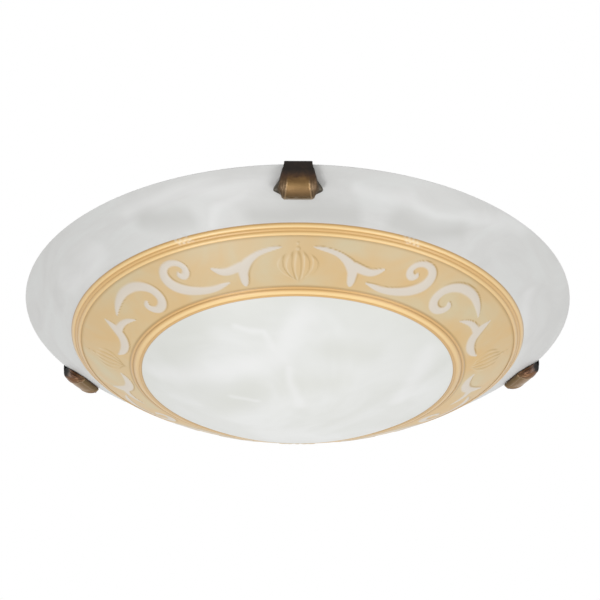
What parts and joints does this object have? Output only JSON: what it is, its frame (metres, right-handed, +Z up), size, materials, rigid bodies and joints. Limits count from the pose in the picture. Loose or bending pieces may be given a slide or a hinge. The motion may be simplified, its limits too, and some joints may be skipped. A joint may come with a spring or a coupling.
{
  "type": "flush mount ceiling light",
  "caption": "Flush ceiling light: a pressed glass bowl with reeded rings is held by edge clips, one of them sprung, under a round steel pan with lampholders and terminals.",
  "frame": {"origin": "centre of the pan's top face, on the ceiling plane, midway between the two fixing slots", "axes": "+Z up into the ceiling; -Y points to the front clip; +X to the right seen from the front"},
  "size_m": [0.4, 0.4018, 0.0944],
  "materials": {
    "white_enamel": "white stove enamel",
    "zinc_steel": "zinc plated, satin",
    "bronzed_clip": "antique bronze, dark at the top and rubbed to gold on the foot",
    "spring_steel": "bright drawn wire",
    "clear_silicone": "soft translucent",
    "opal_glass": "pressed alabaster glass, painted amber and gilt",
    "ivory_shell": "moulded, semi-gloss",
    "white_porcelain": "glazed",
    "brass_thread": "rolled, bright",
    "bulb_glass": "soft white inside coating",
    "cap_metal": "rolled, bright",
    "black_glass": "fused, glossy",
    "tip_metal": "soldered",
    "block_plastic": "translucent white",
    "grommet_rubber": "black, matt",
    "green_screw": "green lacquer on steel",
    "brown_blue_wire": "brown and blue insulation",
    "green_yellow_wire": "green and yellow insulation"
  },
  "bodies": {
    "frame": {"pan": "white_enamel", "pan_studs": "zinc_steel", "stud_nuts": "zinc_steel", "left_arm": "zinc_steel", "right_arm": "zinc_steel", "left_clip": "bronzed_clip", "right_clip": "bronzed_clip", "side_clip_rivets": "zinc_steel", "side_clip_pads": "clear_silicone", "front_guide": "zinc_steel", "holder_a_bracket": "zinc_steel", "holder_a_nipple": "brass_thread", "holder_a_nipple_nut": "zinc_steel", "holder_a_base": "ivory_shell", "holder_a_insulator": "white_porcelain", "holder_a_contact": "brass_thread", "holder_a_thread_shell": "brass_thread", "holder_a_skirt": "ivory_shell", "holder_b_bracket": "zinc_steel", "holder_b_nipple": "brass_thread", "holder_b_nipple_nut": "zinc_steel", "holder_b_base": "ivory_shell", "holder_b_insulator": "white_porcelain", "holder_b_contact": "brass_thread", "holder_b_thread_shell": "brass_thread", "holder_b_skirt": "ivory_shell", "terminal_block": "block_plastic", "terminal_tubes": "brass_thread", "terminal_screws": "zinc_steel", "block_screw": "zinc_steel", "cable_grommet": "grommet_rubber", "earth_tag": "brass_thread", "earth_screw": "green_screw", "lead_a_wires": "brown_blue_wire", "lead_b_wires": "brown_blue_wire", "earth_wire": "green_yellow_wire"},
    "front_clip": {"front_slide_bar": "zinc_steel", "front_clip": "bronzed_clip", "front_clip_rivets": "zinc_steel", "front_clip_pad": "clear_silicone", "spring_rod": "zinc_steel", "rod_washer": "zinc_steel", "clip_spring": "spring_steel"},
    "bowl": {"glass_bowl": "opal_glass"},
    "bulb_a": {"bulb_a_glass": "bulb_glass", "bulb_a_cap": "cap_metal", "bulb_a_cap_insulator": "black_glass", "bulb_a_tip": "tip_metal"},
    "bulb_b": {"bulb_b_glass": "bulb_glass", "bulb_b_cap": "cap_metal", "bulb_b_cap_insulator": "black_glass", "bulb_b_tip": "tip_metal"}
  },
  "joints": [
    {"name": "clip_pull", "type": "slide", "parent": "frame", "child": "front_clip", "axis": [0, -1, 0], "range_m": [0, 0.019], "stiffness_N_per_m": 2400, "springref_m": -0.004, "deforming": ["clip_spring"]},
    {"name": "bowl_turn", "type": "hinge", "parent": "frame", "child": "bowl", "pos_m": [0, 0, 0], "axis": [0, 0, 1], "continuous": true},
    {"name": "bulb_a_turn", "type": "hinge", "parent": "frame", "child": "bulb_a", "pos_m": [-0.047, -0.038, -0.037], "axis": [1, 0, 0], "continuous": true},
    {"name": "bulb_b_turn", "type": "hinge", "parent": "frame", "child": "bulb_b", "pos_m": [0.047, 0.038, -0.037], "axis": [-1, 0, 0], "continuous": true}
  ]
}
